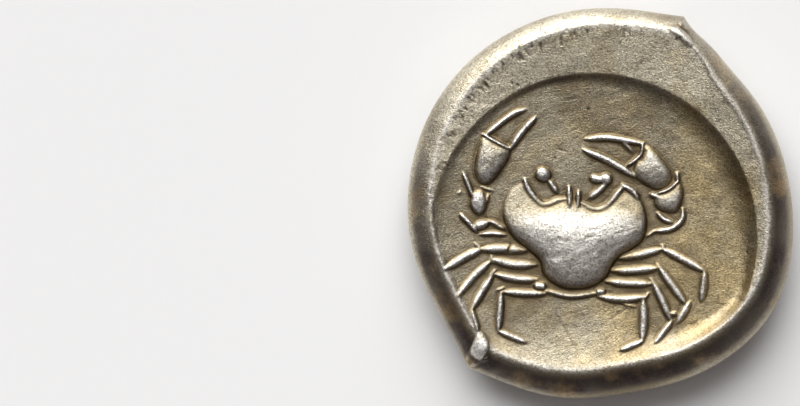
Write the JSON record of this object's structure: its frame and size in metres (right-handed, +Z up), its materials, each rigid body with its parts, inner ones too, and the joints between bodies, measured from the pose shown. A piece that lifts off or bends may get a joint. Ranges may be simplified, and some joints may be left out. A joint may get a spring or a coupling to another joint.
{
  "type": "didrachm coin",
  "caption": "Ancient silver didrachm on a thick uneven flan, lying flat: a crab in a sunk round field above, a worn standing cock below.",
  "frame": {"origin": "under the middle of the coin's outline, on the plane that the worn high points of the cock rest on", "axes": "+Z up out of the crab side; +Y towards the top of the crab's picture, between its claws; +X to its right"},
  "size_m": [0.0208, 0.021, 0.0037],
  "materials": {
    "silver": "old struck silver: satin and a little worn, grey with golden brown toning in the hollows"
  },
  "bodies": {
    "root": {"coin": "silver"}
  },
  "joints": []
}
